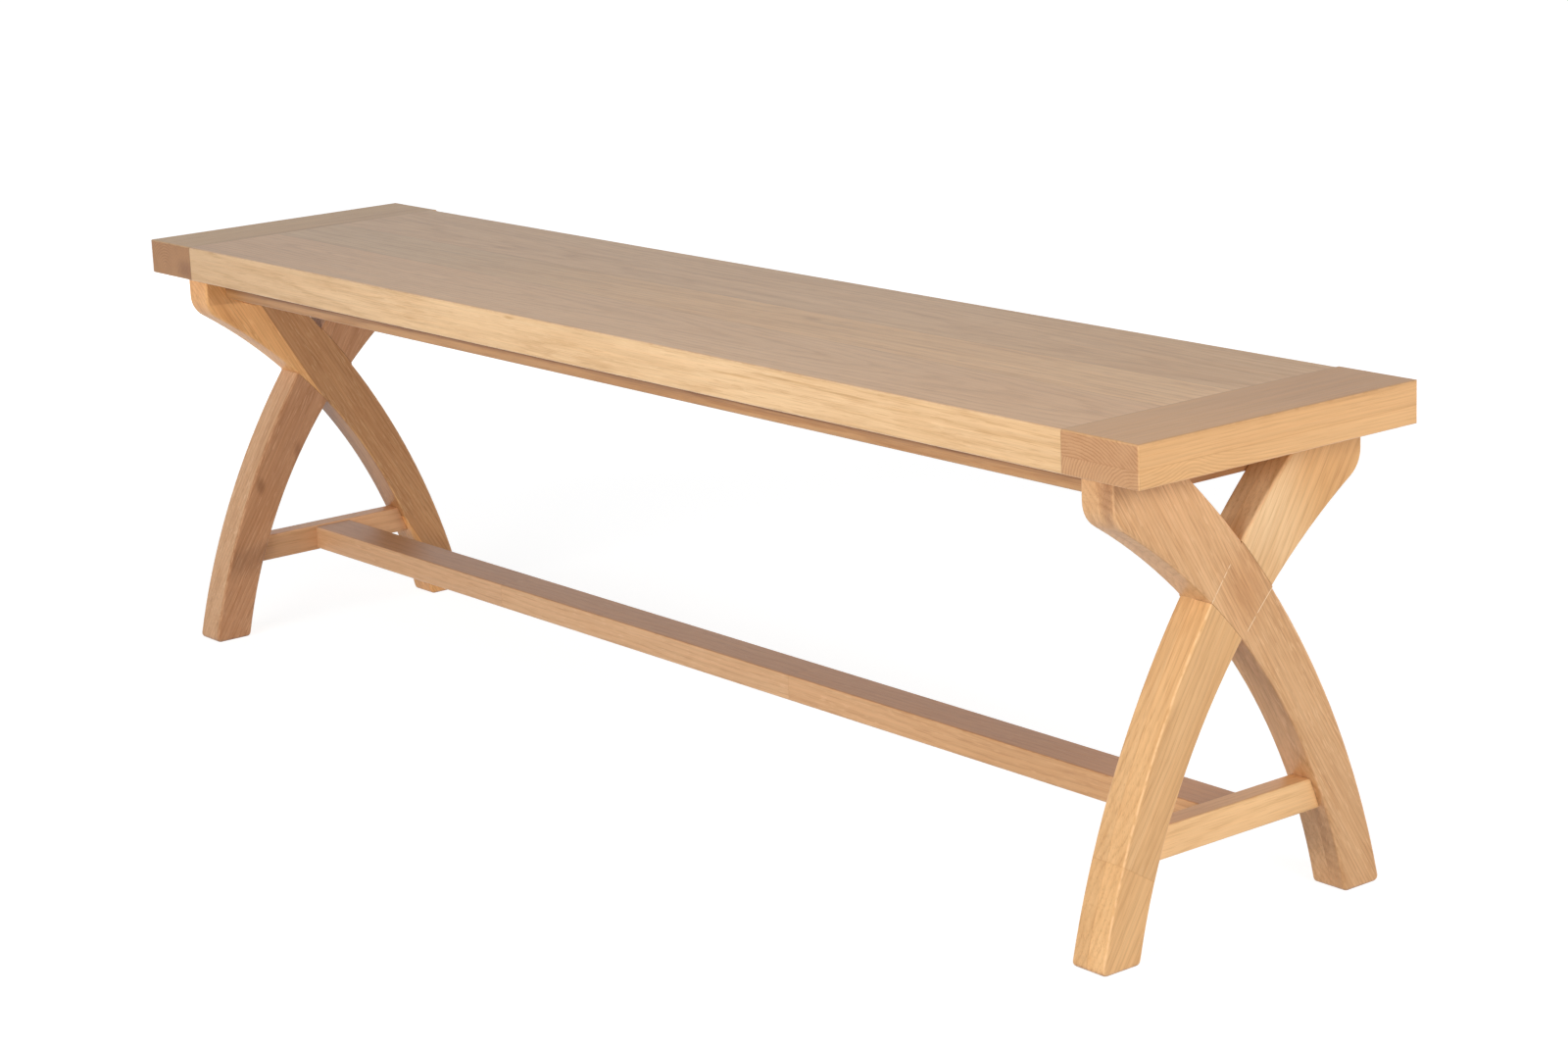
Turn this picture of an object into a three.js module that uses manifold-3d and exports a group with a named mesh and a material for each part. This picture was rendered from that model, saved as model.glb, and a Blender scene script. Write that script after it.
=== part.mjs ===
// Cross leg bench: a slab seat with end boards, on two crossed leg frames joined by a stretcher.
// Millimetres, +Z up. The bench runs along X, its front faces -Y and it stands on Z = 0.

import * as THREE from 'three';
import { mergeVertices } from 'three/addons/utils/BufferGeometryUtils.js';
import Module from 'manifold-3d';

const wasm = await Module();
wasm.setup();

// Seat
const seatLength = 1600;
const seatHeight = 460;
const seatThickness = 38;
const frontBoardWidth = 115;
const middleBoardWidth = 83;
const rearBoardWidth = 128;
const endBoardWidth = 89;
const endBoardProud = 4;
const seatEdgeRound = 2.5;
const seatCornerRound = 3;
const rearCornerRound = 5;

// Tongue on the board ends, and the groove that hides it in each end board
const tongueLength = 20;
const tongueThickness = 12;
const tongueSetback = 25;

// Crossed legs: every leg is one bowed plank, its two edges are arcs
const frameInset = 48;
const legThickness = 39;
const footSpan = 339;
const footWidth = 44.5;
const legTopSpan = 294;
const legTopWidth = 70.5;
const shoulderDrop = 40;
const outerBow = 37.6;
const innerBow = 49;
const shoulderRadius = 28;
const footCornerRadius = 5;
const legEdgeRound = 3;

// Foot rail between the two legs of a frame
const railBottom = 82;
const railHeight = 29;
const railThickness = 22;
const railEdgeRound = 2;
const railTenonThickness = 8;
const railTenonShoulder = 5;
const railTenonLength = 14;

// Stretcher between the two foot rails
const stretcherWidth = 46;
const stretcherHeight = 26;
const stretcherRise = 1.5;
const stretcherEdgeRound = 2;
const stubTenonLength = 12;
const stubTenonWidth = 30;
const stubTenonHeight = 14;

// Aprons and cleats under the seat
const apronSpan = 244;
const apronThickness = 20;
const apronHeight = 26;
const apronEndRadius = 8;
const cleatThickness = 30;
const cleatHeight = 34;
const battenEdgeRound = 2;

// Wood screws that hold the aprons and cleats to the seat
const screwLength = 45;
const screwDiameter = 4.5;
const screwHeadDiameter = 9;
const screwHeadHeight = 3.5;
const screwCrownShare = 0.72;
const screwRimShare = 0.4;
const screwTip = 5;
const counterboreDiameter = 11;
const counterboreDepth = 8;
const cleatScrewSpacing = 60;
const cleatSlotLength = 12;
const apronScrewShares = [-0.84, -0.28, 0.28, 0.84];

// Coach screws that hold the leg tops to the cleats
const coachLength = 60;
const coachDiameter = 7;
const coachTip = 7;
const coachHexAcross = 13;
const coachHeadHeight = 5;
const coachFlangeDiameter = 17;
const coachFlangeThickness = 1.6;
const coachInnerPlace = 74;
const coachPitch = 19;

// Fit of one piece in another, and how far a cutting solid runs past what it cuts
const clearance = 0.3;
const overrun = 6;

// How finely the round forms are divided
const arcSteps = 28;
const shoulderSteps = 7;
const cornerSteps = 4;
const legRoundSteps = 3;
const screwSides = 12;
const hexSides = 6;

// Places that follow from the sizes above
const undersideZ = seatHeight - seatThickness;
const boardsDepth = frontBoardWidth + middleBoardWidth + rearBoardWidth;
const frontY = -(boardsDepth + endBoardProud) / 2;
const rearY = frontY + boardsDepth;
const boardEndX = seatLength / 2 - endBoardWidth;
const frameOuterX = seatLength / 2 - frameInset;
const frameInnerX = frameOuterX - legThickness;
const railInset = (legThickness - railThickness) / 2;
const railInnerX = frameInnerX + railInset;
const railTop = railBottom + railHeight;
const stretcherBottom = railBottom + stretcherRise;
const stretcherTop = stretcherBottom + stretcherHeight;

// Timber and metal colours
const colours = {
  frontBoard: 0xc9a678,
  middleBoard: 0xbb9c7c,
  rearBoard: 0xb89a7d,
  endBoard: 0xc39a6c,
  paleLeg: 0xd8b27c,
  tanLeg: 0xcf9f6c,
  rail: 0xe0b884,
  stretcher: 0xbf956b,
  batten: 0xb08862,
  steel: 0x9a9c9e,
};

function wood(colour) {
  return new THREE.MeshStandardMaterial({ color: colour, roughness: 0.55, metalness: 0 });
}

function steel() {
  return new THREE.MeshStandardMaterial({ color: colours.steel, roughness: 0.35, metalness: 0.9 });
}

// A closed geometry as a solid for joining and cutting
function solidFrom(geometry) {
  const bare = geometry.clone();
  bare.deleteAttribute('normal');
  bare.deleteAttribute('uv');
  const merged = mergeVertices(bare);
  const vertProperties = new Float32Array(merged.attributes.position.array);
  const triVerts = new Uint32Array(merged.index.array);
  return new wasm.Manifold(new wasm.Mesh({ numProp: 3, vertProperties, triVerts }));
}

function geometryFrom(solid) {
  const mesh = solid.getMesh();
  const geometry = new THREE.BufferGeometry();
  geometry.setAttribute('position', new THREE.BufferAttribute(new Float32Array(mesh.vertProperties), 3));
  geometry.setIndex(new THREE.BufferAttribute(new Uint32Array(mesh.triVerts), 1));
  const flat = geometry.toNonIndexed();
  flat.computeVertexNormals();
  return flat;
}

// A plain block between two corners
function block(low, high) {
  const [x0, y0, z0] = low;
  const [x1, y1, z1] = high;
  const geometry = new THREE.BoxGeometry(x1 - x0, y1 - y0, z1 - z0);
  geometry.translate((x0 + x1) / 2, (y0 + y1) / 2, (z0 + z1) / 2);
  return solidFrom(geometry);
}

// Points of an arc, both ends included
function arcPoints(centre, radius, from, to, steps) {
  const points = [];
  for (let i = 0; i <= steps; i += 1) {
    const angle = from + ((to - from) * i) / steps;
    const onCircle = new THREE.Vector2(Math.cos(angle), Math.sin(angle));
    points.push(onCircle.multiplyScalar(radius).add(centre));
  }
  return points;
}

// A rectangle whose corners have their own radii: low-left, low-right, high-right, high-left
function roundedRectangle(u0, u1, v0, v1, radii) {
  const corners = [
    { u: u0, v: v0, inU: 1, inV: 1, from: Math.PI },
    { u: u1, v: v0, inU: -1, inV: 1, from: Math.PI * 1.5 },
    { u: u1, v: v1, inU: -1, inV: -1, from: 0 },
    { u: u0, v: v1, inU: 1, inV: -1, from: Math.PI / 2 },
  ];
  const points = [];
  corners.forEach((corner, i) => {
    const radius = radii[i];
    if (radius > 0) {
      const centre = new THREE.Vector2(corner.u + corner.inU * radius, corner.v + corner.inV * radius);
      points.push(...arcPoints(centre, radius, corner.from, corner.from + Math.PI / 2, cornerSteps));
    } else {
      points.push(new THREE.Vector2(corner.u, corner.v));
    }
  });
  return points;
}

// The axes that a drawn section and its length lie along, one entry for each run of a bar
const axisX = new THREE.Vector3(1, 0, 0);
const axisY = new THREE.Vector3(0, 1, 0);
const axisZ = new THREE.Vector3(0, 0, 1);
const runs = {
  alongX: new THREE.Matrix4().makeBasis(axisY, axisZ, axisX),
  alongY: new THREE.Matrix4().makeBasis(axisZ, axisX, axisY),
  alongZ: new THREE.Matrix4().makeBasis(axisX, axisY, axisZ),
};

// A section drawn in two axes and run along the third; round eases the edges of both end faces
function bar(run, points, start, end, round = 0) {
  const geometry = new THREE.ExtrudeGeometry(new THREE.Shape(points), {
    depth: end - start - 2 * round,
    bevelEnabled: round > 0,
    bevelThickness: round,
    bevelSize: round,
    bevelOffset: -round,
    bevelSegments: legRoundSteps,
  });
  geometry.translate(0, 0, start + round);
  geometry.applyMatrix4(runs[run]);
  return solidFrom(geometry);
}

// Seat: the three long boards
function boardSection(y0, y1, frontRound, rearRound) {
  const radii = [frontRound, rearRound, rearRound, frontRound];
  return roundedRectangle(y0, y1, undersideZ, seatHeight, radii);
}

function seatBoard(y0, y1, frontRound, rearRound) {
  const body = bar('alongX', boardSection(y0, y1, frontRound, rearRound), -boardEndX, boardEndX);
  const tongueZ = undersideZ + (seatThickness - tongueThickness) / 2;
  const tongueFront = Math.max(y0, frontY + tongueSetback);
  const tongueRear = Math.min(y1, rearY - tongueSetback);
  const tongueEnd = boardEndX + tongueLength;
  const tongue = block(
    [-tongueEnd, tongueFront, tongueZ],
    [tongueEnd, tongueRear, tongueZ + tongueThickness],
  );
  return body.add(tongue);
}

// Seat: an end board, drawn for the +X end
function endBoard() {
  const outerX = seatLength / 2;
  const backY = rearY + endBoardProud;
  const r = seatEdgeRound;
  const acrossSection = roundedRectangle(undersideZ, seatHeight, boardEndX, outerX, [0, 0, r, r]);
  const lengthSection = roundedRectangle(frontY, backY, undersideZ, seatHeight, [r, r, r, r]);
  const plan = roundedRectangle(boardEndX, outerX, frontY, backY, [0, seatCornerRound, rearCornerRound, 0]);
  const body = bar('alongY', acrossSection, frontY, backY)
    .intersect(bar('alongX', lengthSection, boardEndX, outerX))
    .intersect(bar('alongZ', plan, undersideZ, seatHeight));
  const grooveZ = undersideZ + (seatThickness - tongueThickness) / 2;
  const groove = block(
    [boardEndX - overrun, frontY + tongueSetback - clearance, grooveZ - clearance],
    [
      boardEndX + tongueLength + clearance,
      rearY - tongueSetback + clearance,
      grooveZ + tongueThickness + clearance,
    ],
  );
  return body.subtract(groove);
}

// The circle through two points with a given rise of its arc, bulging away from the bench's front
function arcThrough(low, high, bow) {
  const half = low.distanceTo(high) / 2;
  const radius = (half * half + bow * bow) / (2 * bow);
  const middle = low.clone().add(high).multiplyScalar(0.5);
  const inward = new THREE.Vector2(low.y - high.y, high.x - low.x).normalize();
  return { centre: middle.addScaledVector(inward, radius - bow), radius };
}

const angleOf = (from, to) => Math.atan2(to.y - from.y, to.x - from.x);

// Height-to-depth lookup on a leg edge: how far back the arc is at height z
const depthAt = (arc, z) => arc.centre.x + Math.sqrt(arc.radius ** 2 - (z - arc.centre.y) ** 2);

// The two edges of the leg whose foot is at the rear: outer edge above and behind, inner edge below
function legEdges() {
  const outer = arcThrough(
    new THREE.Vector2(footSpan / 2, 0),
    new THREE.Vector2(-legTopSpan / 2 + legTopWidth, undersideZ),
    outerBow,
  );
  const inner = arcThrough(
    new THREE.Vector2(footSpan / 2 - footWidth, 0),
    new THREE.Vector2(-legTopSpan / 2, undersideZ - shoulderDrop),
    innerBow,
  );
  return { outer, inner };
}

// Outline of that leg in depth and height, grown on every side by the same amount
function legOutline(grow, top) {
  const { outer, inner } = legEdges();
  const outerR = outer.radius + grow;
  const innerR = inner.radius - grow;
  const corner = footCornerRadius;
  const floor = -grow;
  const sideY = -legTopSpan / 2 - grow;

  const toeZ = floor + corner;
  const toeRun = Math.sqrt((outerR - corner) ** 2 - (toeZ - outer.centre.y) ** 2);
  const toe = new THREE.Vector2(outer.centre.x + toeRun, toeZ);
  const heelRun = Math.sqrt((innerR + corner) ** 2 - (toeZ - inner.centre.y) ** 2);
  const heel = new THREE.Vector2(inner.centre.x + heelRun, toeZ);
  const shoulderY = sideY + shoulderRadius;
  const shoulderRise = Math.sqrt((innerR + shoulderRadius) ** 2 - (shoulderY - inner.centre.x) ** 2);
  const shoulder = new THREE.Vector2(shoulderY, inner.centre.y + shoulderRise);

  const topAngle = Math.asin((top - outer.centre.y) / outerR);
  return [
    ...arcPoints(toe, corner, -Math.PI / 2, angleOf(outer.centre, toe), cornerSteps),
    ...arcPoints(outer.centre, outerR, angleOf(outer.centre, toe), topAngle, arcSteps).slice(1),
    new THREE.Vector2(sideY, top),
    ...arcPoints(shoulder, shoulderRadius, Math.PI, Math.PI + angleOf(inner.centre, shoulder), shoulderSteps),
    ...arcPoints(
      inner.centre,
      innerR,
      angleOf(inner.centre, shoulder),
      angleOf(inner.centre, heel),
      arcSteps,
    ).slice(1, -1),
    ...arcPoints(heel, corner, Math.PI + angleOf(inner.centre, heel), Math.PI * 1.5, cornerSteps),
  ];
}

// The leg with its foot at the rear as drawn, or mirrored so that its foot is at the front
function facing(points, footAt) {
  if (footAt === 'rear') {
    return points;
  }
  return points.map((point) => new THREE.Vector2(-point.x, point.y)).reverse();
}

const partnerOf = { rear: 'front', front: 'rear' };

function legPrism(footAt, grow, x0, x1) {
  return bar('alongX', facing(legOutline(grow, undersideZ + overrun), footAt), x0, x1);
}

// Tenon of a foot rail, through the rail and into both legs, in the frame's own X
function railTenon(grow) {
  const { inner } = legEdges();
  const reach = depthAt(inner, railBottom + railTenonShoulder) + railTenonLength + grow;
  const x0 = (legThickness - railTenonThickness) / 2 - grow;
  const z0 = railBottom + railTenonShoulder - grow;
  const z1 = railTop - railTenonShoulder + grow;
  return block([x0, -reach, z0], [legThickness - x0, reach, z1]);
}

// Coach screws are placed by their depth along the cleat
const coachPlaces = [coachInnerPlace, coachInnerPlace + coachPitch];
const coachZ = undersideZ - cleatHeight / 2;

// One leg in the frame's own X, from 0 to the leg's thickness; the seat side is where the cleat is
function leg(footAt, seatSide) {
  const outline = facing(legOutline(0, undersideZ + overrun), footAt);
  const eased = bar('alongX', outline, 0, legThickness, legEdgeRound);
  const partner = legPrism(partnerOf[footAt], 0, -overrun, legThickness + overrun);
  const squareCrossing = bar('alongX', outline, 0, legThickness).intersect(partner);
  const above = block(
    [-overrun, -footSpan, undersideZ],
    [legThickness + overrun, footSpan, undersideZ + 2 * overrun],
  );

  const middle = legThickness / 2;
  const lapCut = footAt === 'rear'
    ? legPrism('front', clearance, -overrun, middle + clearance / 2)
    : legPrism('rear', clearance, middle - clearance / 2, legThickness + overrun);

  let solid = eased.add(squareCrossing).subtract(above).subtract(lapCut).subtract(railTenon(clearance));

  const topSide = footAt === 'rear' ? -1 : 1;
  const depth = coachLength - cleatThickness + clearance;
  const holeX = seatSide > 0 ? legThickness - depth : -overrun;
  for (const place of coachPlaces) {
    const hole = roundAlongX(coachDiameter / 2 + clearance, holeX, depth + overrun, topSide * place, coachZ);
    solid = solid.subtract(hole);
  }
  return solid;
}

// Round cutters and shanks
function roundAlongX(radius, x0, length, y, z) {
  const geometry = new THREE.CylinderGeometry(radius, radius, length, screwSides);
  geometry.rotateZ(Math.PI / 2);
  geometry.translate(x0 + length / 2, y, z);
  return solidFrom(geometry);
}

function roundUp(radius, x, y, z0, length) {
  const geometry = new THREE.CylinderGeometry(radius, radius, length, screwSides);
  geometry.rotateX(Math.PI / 2);
  geometry.translate(x, y, z0 + length / 2);
  return solidFrom(geometry);
}

// Foot rail in the frame's own X: its ends are cut to the legs' inner edges, with a tenon beyond
function footRail(seatSide) {
  const { inner } = legEdges();
  const x0 = railInset;
  const x1 = railInset + railThickness;
  const reach = depthAt(inner, railBottom) + clearance;
  const r = railEdgeRound;
  const section = roundedRectangle(railBottom, railTop, x0, x1, [r, r, r, r]);
  const between = bar('alongY', section, -reach, reach)
    .subtract(legPrism('rear', clearance, -overrun, legThickness + overrun))
    .subtract(legPrism('front', clearance, -overrun, legThickness + overrun));
  return between.add(railTenon(0)).subtract(stubMortise(seatSide));
}

// Hole in a foot rail for the stretcher's stub tenon
function stubMortise(seatSide) {
  const depth = stubTenonLength + clearance;
  const face = seatSide > 0 ? railInset + railThickness : railInset;
  const x0 = seatSide > 0 ? face - depth : face - overrun;
  const x1 = seatSide > 0 ? face + overrun : face + depth;
  const y = stubTenonWidth / 2 + clearance;
  const z0 = stretcherBottom + (stretcherHeight - stubTenonHeight) / 2 - clearance;
  return block([x0, -y, z0], [x1, y, z0 + stubTenonHeight + 2 * clearance]);
}

function stretcher() {
  const r = stretcherEdgeRound;
  const y = stretcherWidth / 2;
  const section = roundedRectangle(-y, y, stretcherBottom, stretcherTop, [r, r, r, r]);
  const body = bar('alongX', section, -railInnerX, railInnerX);
  const end = railInnerX + stubTenonLength;
  const z0 = stretcherBottom + (stretcherHeight - stubTenonHeight) / 2;
  const stub = block([-end, -stubTenonWidth / 2, z0], [end, stubTenonWidth / 2, z0 + stubTenonHeight]);
  return body.add(stub);
}

// Hole for a seat screw from below: a counterbore for the head and a hole for the shank
function screwHole(x, y, bottomZ) {
  const shank = screwDiameter / 2 + clearance;
  const counterbore = roundUp(counterboreDiameter / 2, x, y, bottomZ - overrun, counterboreDepth + overrun);
  const headZ = bottomZ + counterboreDepth;
  return counterbore.add(roundUp(shank, x, y, headZ - overrun, screwLength + clearance + overrun));
}

// The same hole drawn out along the cleat, so that the seat can swell and shrink
function slottedHole(x, y, bottomZ) {
  const shift = cleatSlotLength / 2;
  const shank = screwDiameter / 2 + clearance;
  const head = counterboreDiameter / 2;
  const headZ = bottomZ + counterboreDepth;
  const wide = block([x - head, y - shift, bottomZ - overrun], [x + head, y + shift, headZ]);
  const narrow = block([x - shank, y - shift, headZ - overrun], [x + shank, y + shift, undersideZ + overrun]);
  return screwHole(x, y - shift, bottomZ).add(screwHole(x, y + shift, bottomZ)).add(wide).add(narrow);
}

const apronBottom = undersideZ - apronHeight;
const cleatBottom = undersideZ - cleatHeight;
const apronScrewY = (apronSpan - apronThickness) / 2;
const cleatScrewX = frameInnerX - cleatThickness / 2;
const cleatScrewPlaces = [-cleatScrewSpacing, 0, cleatScrewSpacing];

// Apron between the two leg frames, drawn for the rear; its lower end corners are rounded
function apron() {
  const y0 = apronSpan / 2 - apronThickness;
  const y1 = apronSpan / 2;
  const r = battenEdgeRound;
  const e = apronEndRadius;
  const side = roundedRectangle(apronBottom, undersideZ, -frameInnerX, frameInnerX, [e, 0, 0, e]);
  const section = roundedRectangle(y0, y1, apronBottom, undersideZ, [r, r, 0, 0]);
  let solid = bar('alongY', side, y0, y1).intersect(bar('alongX', section, -frameInnerX, frameInnerX));
  for (const share of apronScrewShares) {
    solid = solid.subtract(screwHole(share * frameInnerX, apronScrewY, apronBottom));
  }
  return solid;
}

// Cleat across the bench, between the aprons and against the leg tops, drawn for the +X end
function cleat() {
  const y = apronSpan / 2 - apronThickness;
  const r = battenEdgeRound;
  const x0 = frameInnerX - cleatThickness;
  const section = roundedRectangle(cleatBottom, undersideZ, x0, frameInnerX, [r, 0, 0, r]);
  let solid = bar('alongY', section, -y, y);
  for (const place of cleatScrewPlaces) {
    const hole = place === 0 ? screwHole : slottedHole;
    solid = solid.subtract(hole(cleatScrewX, place, cleatBottom));
  }
  for (const place of coachPlaces) {
    for (const side of [-1, 1]) {
      const radius = coachDiameter / 2 + clearance;
      const through = cleatThickness + 2 * overrun;
      solid = solid.subtract(roundAlongX(radius, x0 - overrun, through, side * place, coachZ));
    }
  }
  return solid;
}

// Pilot holes in the seat boards for the screws that end in them
function seatPilots(y0, y1) {
  const holes = [];
  for (const share of apronScrewShares) {
    for (const side of [-1, 1]) {
      holes.push({ x: share * frameInnerX, y: side * apronScrewY, headZ: apronBottom + counterboreDepth });
    }
  }
  for (const place of cleatScrewPlaces) {
    for (const side of [-1, 1]) {
      holes.push({ x: side * cleatScrewX, y: place, headZ: cleatBottom + counterboreDepth });
    }
  }
  const radius = screwDiameter / 2 + clearance;
  const startZ = undersideZ - overrun;
  return holes
    .filter((hole) => hole.y > y0 && hole.y < y1)
    .map((hole) => roundUp(radius, hole.x, hole.y, startZ, hole.headZ + screwLength + clearance - startZ));
}

function boredSeatBoard(y0, y1, frontRound, rearRound) {
  return seatPilots(y0, y1).reduce(
    (solid, hole) => solid.subtract(hole),
    seatBoard(y0, y1, frontRound, rearRound),
  );
}

// Pan head wood screw, standing on the underside of its head at the origin and pointing up
function woodScrew() {
  const shank = screwDiameter / 2;
  const head = screwHeadDiameter / 2;
  const profile = [
    new THREE.Vector2(0, -screwHeadHeight),
    new THREE.Vector2(head * screwCrownShare, -screwHeadHeight),
    new THREE.Vector2(head, -screwHeadHeight * screwRimShare),
    new THREE.Vector2(head, 0),
    new THREE.Vector2(shank, 0),
    new THREE.Vector2(shank, screwLength - screwTip),
    new THREE.Vector2(0, screwLength),
  ];
  const geometry = new THREE.LatheGeometry(profile, screwSides);
  geometry.rotateX(Math.PI / 2);
  return solidFrom(geometry);
}

// Flanged hexagon head coach screw, its flange against x = 0 and its shank towards +X
function coachScrew() {
  const shank = coachDiameter / 2;
  const profile = [
    new THREE.Vector2(0, -coachFlangeThickness),
    new THREE.Vector2(coachFlangeDiameter / 2, -coachFlangeThickness),
    new THREE.Vector2(coachFlangeDiameter / 2, 0),
    new THREE.Vector2(shank, 0),
    new THREE.Vector2(shank, coachLength - coachTip),
    new THREE.Vector2(0, coachLength),
  ];
  const flangedShank = new THREE.LatheGeometry(profile, screwSides);
  flangedShank.rotateZ(-Math.PI / 2);
  const hexRadius = coachHexAcross / (2 * Math.cos(Math.PI / hexSides));
  const hexHeight = coachHeadHeight + coachFlangeThickness / 2;
  const hex = new THREE.CylinderGeometry(hexRadius, hexRadius, hexHeight, hexSides);
  hex.rotateZ(Math.PI / 2);
  hex.translate(-coachFlangeThickness / 2 - hexHeight / 2, 0, 0);
  return solidFrom(flangedShank).add(solidFrom(hex));
}

const bench = new THREE.Group();

function piece(parent, name, solid, material, x = 0, y = 0, z = 0) {
  const mesh = new THREE.Mesh(geometryFrom(solid), material);
  mesh.name = name;
  mesh.position.set(x, y, z);
  parent.add(mesh);
  return mesh;
}

// The same piece turned half round the vertical axis, for the other end or the other side
function turned(mesh) {
  mesh.rotation.z = Math.PI;
  return mesh;
}

function mirrored(solid, axis) {
  return solid.scale([axis === 'x' ? -1 : 1, axis === 'y' ? -1 : 1, 1]);
}

function addSeat() {
  const seat = new THREE.Group();
  const firstSeam = frontY + frontBoardWidth;
  const secondSeam = firstSeam + middleBoardWidth;
  const r = seatEdgeRound;
  piece(seat, 'seat_board_front', boredSeatBoard(frontY, firstSeam, r, 0), wood(colours.frontBoard));
  piece(seat, 'seat_board_middle', boredSeatBoard(firstSeam, secondSeam, 0, 0), wood(colours.middleBoard));
  piece(seat, 'seat_board_rear', boredSeatBoard(secondSeam, rearY, 0, r), wood(colours.rearBoard));
  piece(seat, 'end_board_right', endBoard(), wood(colours.endBoard));
  piece(seat, 'end_board_left', mirrored(endBoard(), 'x'), wood(colours.endBoard));
  bench.add(seat);
}

function addFrame(name, end) {
  const frame = new THREE.Group();
  frame.position.x = end > 0 ? frameInnerX : -frameOuterX;
  piece(frame, `leg_${name}_rear_foot`, leg('rear', -end), wood(colours.tanLeg));
  piece(frame, `leg_${name}_front_foot`, leg('front', -end), wood(colours.paleLeg));
  piece(frame, `foot_rail_${name}`, footRail(-end), wood(colours.rail));
  bench.add(frame);
}

function addBattens() {
  const battens = new THREE.Group();
  piece(battens, 'apron_rear', apron(), wood(colours.batten));
  piece(battens, 'apron_front', mirrored(apron(), 'y'), wood(colours.batten));
  piece(battens, 'cleat_right', cleat(), wood(colours.batten));
  piece(battens, 'cleat_left', mirrored(cleat(), 'x'), wood(colours.batten));
  bench.add(battens);
}

function addScrews() {
  const screws = new THREE.Group();
  for (const [side, name] of [[-1, 'front'], [1, 'rear']]) {
    apronScrewShares.forEach((share, i) => {
      const x = share * frameInnerX;
      const z = apronBottom + counterboreDepth;
      piece(screws, `apron_screw_${name}_${i + 1}`, woodScrew(), steel(), x, side * apronScrewY, z);
    });
  }
  for (const [side, name] of [[-1, 'left'], [1, 'right']]) {
    cleatScrewPlaces.forEach((place, i) => {
      const z = cleatBottom + counterboreDepth;
      piece(screws, `cleat_screw_${name}_${i + 1}`, woodScrew(), steel(), side * cleatScrewX, place, z);
    });
  }
  bench.add(screws);
}

function addCoachScrews() {
  const screws = new THREE.Group();
  const headX = frameInnerX - cleatThickness;
  for (const [end, name] of [[-1, 'left'], [1, 'right']]) {
    let count = 0;
    for (const side of [-1, 1]) {
      for (const place of coachPlaces) {
        count += 1;
        const screw = piece(
          screws,
          `coach_screw_${name}_${count}`,
          coachScrew(),
          steel(),
          end * headX,
          side * place,
          coachZ,
        );
        if (end < 0) {
          turned(screw);
        }
      }
    }
  }
  bench.add(screws);
}

addSeat();
addFrame('left', -1);
addFrame('right', 1);
piece(bench, 'stretcher', stretcher(), wood(colours.stretcher));
addBattens();
addScrews();
addCoachScrews();

export default bench;
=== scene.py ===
import math

import bpy
from mathutils import Matrix, Vector

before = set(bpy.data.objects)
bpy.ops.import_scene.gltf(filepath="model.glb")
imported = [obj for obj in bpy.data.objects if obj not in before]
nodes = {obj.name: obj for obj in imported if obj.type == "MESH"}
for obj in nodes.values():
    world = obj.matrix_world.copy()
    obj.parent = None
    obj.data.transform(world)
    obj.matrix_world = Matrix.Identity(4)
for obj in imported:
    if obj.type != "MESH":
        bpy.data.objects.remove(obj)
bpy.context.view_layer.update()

MM = 0.001

# The photograph's camera, solved from the bench's own corners and edges
PHOTO_SIZE = (1600, 1067)
CAMERA_FOCAL_PX = 3554.41
CAMERA_TURN = Vector((1.694982, 0.780783, -0.666019))
CAMERA_SHIFT = Vector((-0.0751878, 0.2245597, 3.559954))
BENCH_OFFSET_Y = 0.002
SENSOR = 36.0
CLIP_END = 50

# The legs' outlines in depth and height, in millimetres, from the same sizes as the CAD source
LEG_OUTER = {"low": (169.5, 0.0), "high": (-76.5, 422.0), "bow": 37.6}
LEG_INNER = {"low": (125.0, 0.0), "high": (-147.0, 382.0), "bow": 49.0}

# Places of the bench that its materials refer to, in metres
FRAME_OUTER_X = 0.752
FRAME_INNER_X = 0.713
FRAME_MIDDLE_X = (FRAME_OUTER_X + FRAME_INNER_X) / 2
SEAT_TOP_Z = 0.460
SEAT_BOTTOM_Z = 0.422
BOARD_END_X = 0.711
FRONT_FACE_Y = -0.165
FRONT_SEAM_Y = -0.050
REAR_SEAM_Y = 0.033
RAIL_X = 0.733
RAIL_Z = 0.10
BOARD_ENDS = ((0, BOARD_END_X), (0, -BOARD_END_X))
ALL_ROUND = 20.0

# Directions of a board's grain and of its depth
ALONG_X = ((1, 0, 0), (0, 0, 1))
ALONG_Y = ((0, 1, 0), (0, 0, 1))
LEG_RUN_Y = 0.259
LEG_RUN_Z = -0.422
LEG_GRAIN_Z = 0.30

# Roughly how often each pattern of the wood repeats in a metre, along the grain and twice across it
SLOW_BEND = (1.6, 7, 7)
BEND = (4.5, 24, 24)
RAGGED_EDGE = (12, 190, 190)
RING_STRENGTH = (3, 60, 60)
THICK_FIBRE = (4.5, 480, 480)
THIN_FIBRE = (11, 1150, 1150)
PORE_DASH = (36, 1400, 1400)
FLECK_STROKE = (60, 700, 520)
FLECK_CROWD = (7, 40, 40)
STREAK = (3, 100, 100)
MOTTLE = (14, 62, 62)
BROAD_TONE = (1.1, 16, 16)
PATCH_TONE = (8, 75, 75)

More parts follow.
